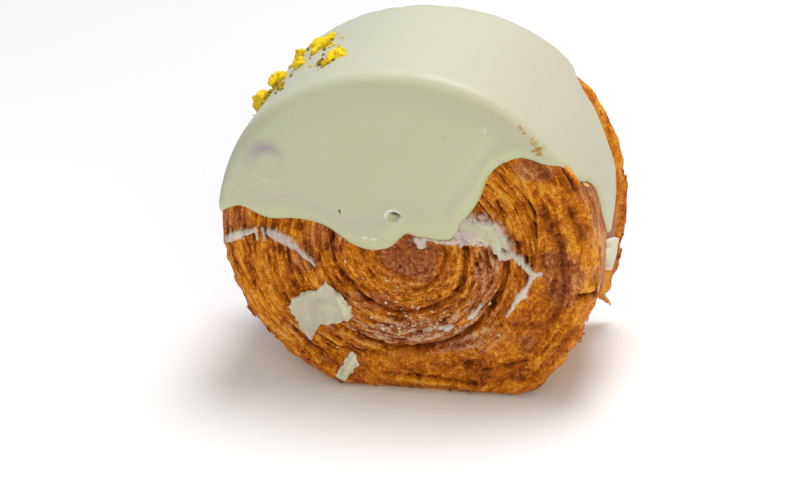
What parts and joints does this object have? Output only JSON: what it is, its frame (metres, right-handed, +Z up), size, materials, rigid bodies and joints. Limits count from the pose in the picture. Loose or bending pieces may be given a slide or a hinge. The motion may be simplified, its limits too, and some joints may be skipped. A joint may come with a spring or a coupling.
{
  "type": "iced croissant roll",
  "caption": "Round rolled croissant standing on its rim, flaky spiral faces, half dipped in pale green icing with chopped nuts on top.",
  "frame": {"origin": "on the flat spot of the rim that the roll stands on, below the middle of its round faces", "axes": "+Z up, +Y from the front face to the back face, +X to the right seen from the front"},
  "size_m": [0.1053, 0.049, 0.0962],
  "materials": {
    "crust": "browned flaky crust, satin where the outer skin is smooth",
    "icing": "set pale green icing, satin",
    "nuts": "chopped nuts, matt"
  },
  "bodies": {
    "root": {"croissant": "crust", "icing": "icing", "icing_chip_large": "icing", "icing_chip_small": "icing", "icing_chip_rim": "icing"}
  },
  "joints": []
}
